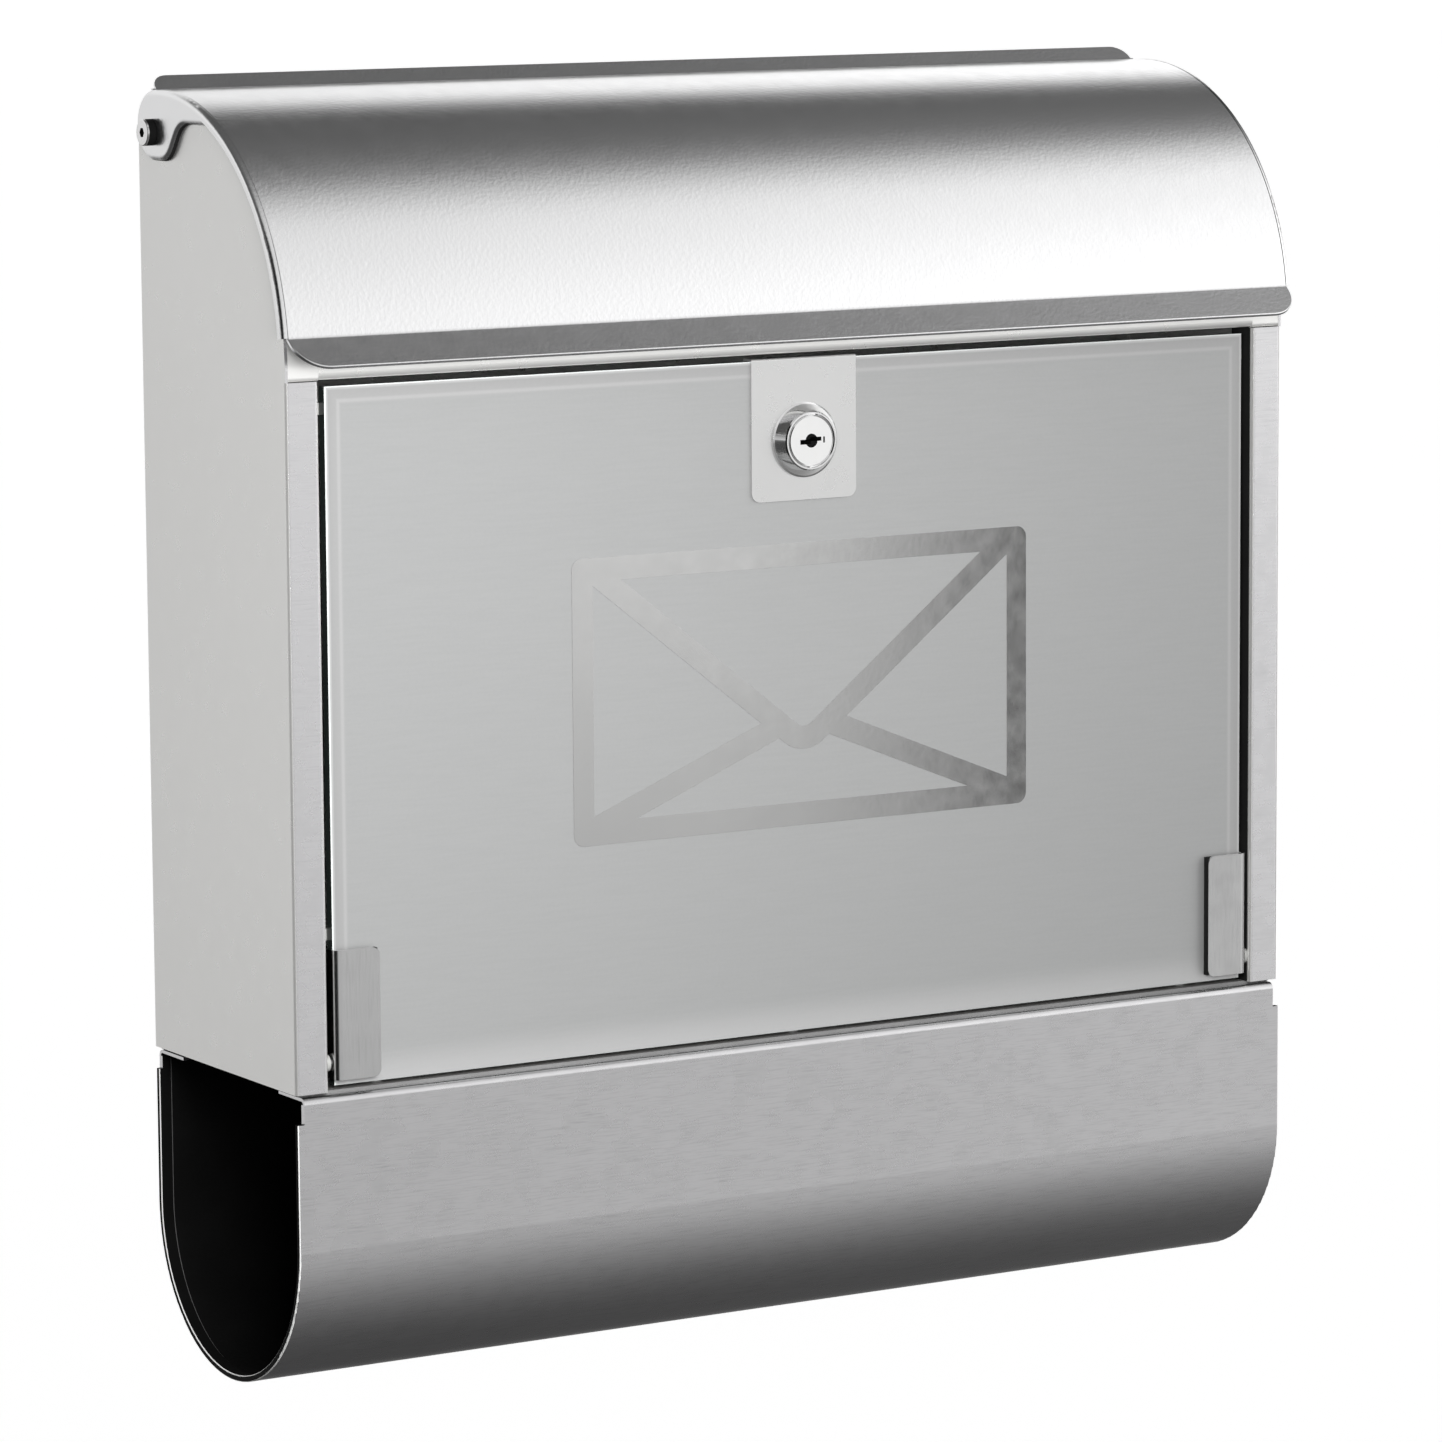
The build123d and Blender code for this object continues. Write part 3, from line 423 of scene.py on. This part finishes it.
# brightness of the studio round the mailbox's long axis: degrees up from straight ahead
STUDIO = [
    (-180, 0.80), (-168, 0.75), (-160, 0.50), (-153, 0.18), (-143, 0.070), (-110, 0.066),
    (-90, 0.078), (-72, 0.11), (-52, 0.20), (-38, 0.29), (-28, 0.37), (-20, 0.405),
    (-14, 0.425), (-11, 0.45), (-7, 0.73), (-2, 0.93), (10, 0.93), (30, 0.84),
    (48, 0.765), (59, 0.74), (66, 0.70), (76, 0.485), (86, 0.21), (98, 0.120),
    (112, 0.100), (125, 0.080), (129.5, 0.12), (136.5, 0.48), (143.5, 0.88), (154, 0.92),
    (180, 0.80),
]
MID_X = 0.515             # sideways part of a reflection in the middle of the front
REACH_X = 0.1             # the lean and the gain stop growing this far from there
TILT_PER_X = radians(-75)  # the studio's bands lean: how far they turn per unit of that part
HORIZON = 0.3             # they lean above the horizon only, fully from this upward part on
LEAN_TURNS = (radians(85), radians(130))   # and past these turns they all but stop leaning
LEAN_BEHIND = -0.1
GAIN_PER_X = 2.2          # the right side is brighter
DARK_LEFT = (radians(-92), radians(-78), radians(-42), radians(-22))   # fades in and out again
DARK_TONE = 0.010
DARK_LEFT_TOP = (0.60, 0.78)   # and ends this far up and down
DARK_RIGHT_X = (0.60, 0.66)   # behind to the right and high, seen only in the lock's cone
DARK_RIGHT_Z = (0.16, 0.26)
DARK_RIGHT_TURN = (radians(106), radians(113))
FLAG_AT = (radians(34.7), radians(-6.1))   # a dark flag to the right, seen in the sign and the glass
FLAG_HALF = (radians(2.0), radians(3.8))
FLAG_SOFT = radians(2.4)
FLAG_TONE = 0.01

world = bpy.data.worlds.new("studio")
scene.world = world
world.use_nodes = True
tree = world.node_tree
background = tree.nodes["Background"]
split = tree.nodes.new("ShaderNodeSeparateXYZ")
link(tree, tree.nodes.new("ShaderNodeTexCoord").outputs["Generated"], split.inputs["Vector"])
side, up_part = split.outputs["X"], split.outputs["Z"]
ahead = math_node(tree, "MULTIPLY", split.outputs["Y"], -1.0)
off_middle = map_range(tree, side, (MID_X - REACH_X, MID_X + REACH_X), (-REACH_X, REACH_X))
turn = math_node(tree, "ARCTAN2", up_part, ahead)
lean = math_node(tree, "MULTIPLY", off_middle, TILT_PER_X)
above_horizon = map_range(tree, up_part, (0.0, HORIZON), (0.0, 1.0))
fore_and_aft = map_range(tree, turn, LEAN_TURNS, (1.0, LEAN_BEHIND))
lean = math_node(tree, "MULTIPLY", math_node(tree, "MULTIPLY", lean, above_horizon), fore_and_aft)
turn = math_node(tree, "ADD", turn, lean)
around = map_range(tree, turn, (-pi, pi), (0.0, 1.0))
sky = ramp(tree, around, [((angle + 180) / 360, tone) for angle, tone in STUDIO])
gain = math_node(tree, "ADD", math_node(tree, "MULTIPLY", off_middle, GAIN_PER_X), 1.0)
scaled = tree.nodes.new("ShaderNodeVectorMath")
scaled.operation = "SCALE"
link(tree, sky, scaled.inputs[0])
link(tree, gain, scaled.inputs["Scale"])
sky = scaled.outputs["Vector"]

far_right = math_node(tree, "MULTIPLY", map_range(tree, side, DARK_RIGHT_X, (0.0, 1.0), smooth=True),
                      map_range(tree, up_part, DARK_RIGHT_Z, (0.0, 1.0), smooth=True))
compass = math_node(tree, "ARCTAN2", side, ahead)
far_right = math_node(tree, "MULTIPLY", far_right,
                      map_range(tree, compass, DARK_RIGHT_TURN, (0.0, 1.0), smooth=True))
sky = mix_colour(tree, far_right, sky, grey(DARK_TONE))
left = math_node(tree, "MULTIPLY", map_range(tree, compass, DARK_LEFT[:2], (0.0, 1.0), smooth=True),
                 map_range(tree, compass, DARK_LEFT[2:], (1.0, 0.0), smooth=True))
level_part = map_range(tree, math_node(tree, "ABSOLUTE", up_part), DARK_LEFT_TOP, (1.0, 0.0), smooth=True)
sky = mix_colour(tree, math_node(tree, "MULTIPLY", left, level_part), sky, grey(DARK_TONE))
height = math_node(tree, "ARCSINE", up_part)
flag = None
for angle, centre, half in ((compass, FLAG_AT[0], FLAG_HALF[0]), (height, FLAG_AT[1], FLAG_HALF[1])):
    away = math_node(tree, "ABSOLUTE", math_node(tree, "SUBTRACT", angle, centre))
    inside = map_range(tree, away, (half - FLAG_SOFT / 2, half + FLAG_SOFT / 2), (1.0, 0.0), smooth=True)
    flag = inside if flag is None else math_node(tree, "MULTIPLY", flag, inside)
sky = mix_colour(tree, flag, sky, grey(FLAG_TONE))
# seen straight on, the studio is a plain pale backdrop
seen = tree.nodes.new("ShaderNodeLightPath").outputs["Is Camera Ray"]
sky = mix_colour(tree, seen, sky, grey(1.0))
link(tree, sky, background.inputs["Color"])
background.inputs["Strength"].default_value = STUDIO_GAIN

SOFTBOX_AT = Vector((-0.28, -0.60, 0.10))
SOFTBOX_TARGET = Vector((-0.04, -0.10, 0.01))
light = bpy.data.lights.new("softbox_left", "AREA")
light.shape = "RECTANGLE"
light.size = light.size_y = 0.25
light.energy = 5.0
lamp = bpy.data.objects.new("softbox_left", light)
scene.collection.objects.link(lamp)
lamp.location = SOFTBOX_AT
lamp.rotation_euler = (SOFTBOX_TARGET - SOFTBOX_AT).to_track_quat("-Z", "Y").to_euler()
lamp.visible_camera = False
lamp.visible_glossy = False

# ---- camera ---------------------------------------------------------------------------------

CAMERA_AT = Vector((-1.06705, -1.82198, 0.237586))
CAMERA_TURN = radians(30.961)
CAMERA_PITCH = radians(-8.0485)
CAMERA_ROLL = radians(-0.379)
LENS_MM = 162.478
SENSOR_MM = 36.0
flat = cos(CAMERA_PITCH)
forward = Vector((sin(CAMERA_TURN) * flat, cos(CAMERA_TURN) * flat, sin(CAMERA_PITCH)))
level = forward.cross(Vector((0.0, 0.0, 1.0))).normalized()
upward = level.cross(forward)
right = level * cos(CAMERA_ROLL) + upward * sin(CAMERA_ROLL)
up = upward * cos(CAMERA_ROLL) - level * sin(CAMERA_ROLL)
lens = bpy.data.cameras.new("camera")
lens.lens = LENS_MM
lens.sensor_width = SENSOR_MM
camera = bpy.data.objects.new("camera", lens)
scene.collection.objects.link(camera)
camera.matrix_world = Matrix((
    (right.x, up.x, -forward.x, CAMERA_AT.x),
    (right.y, up.y, -forward.y, CAMERA_AT.y),
    (right.z, up.z, -forward.z, CAMERA_AT.z),
    (0.0, 0.0, 0.0, 1.0),
))
scene.camera = camera
scene.view_settings.view_transform = "Standard"
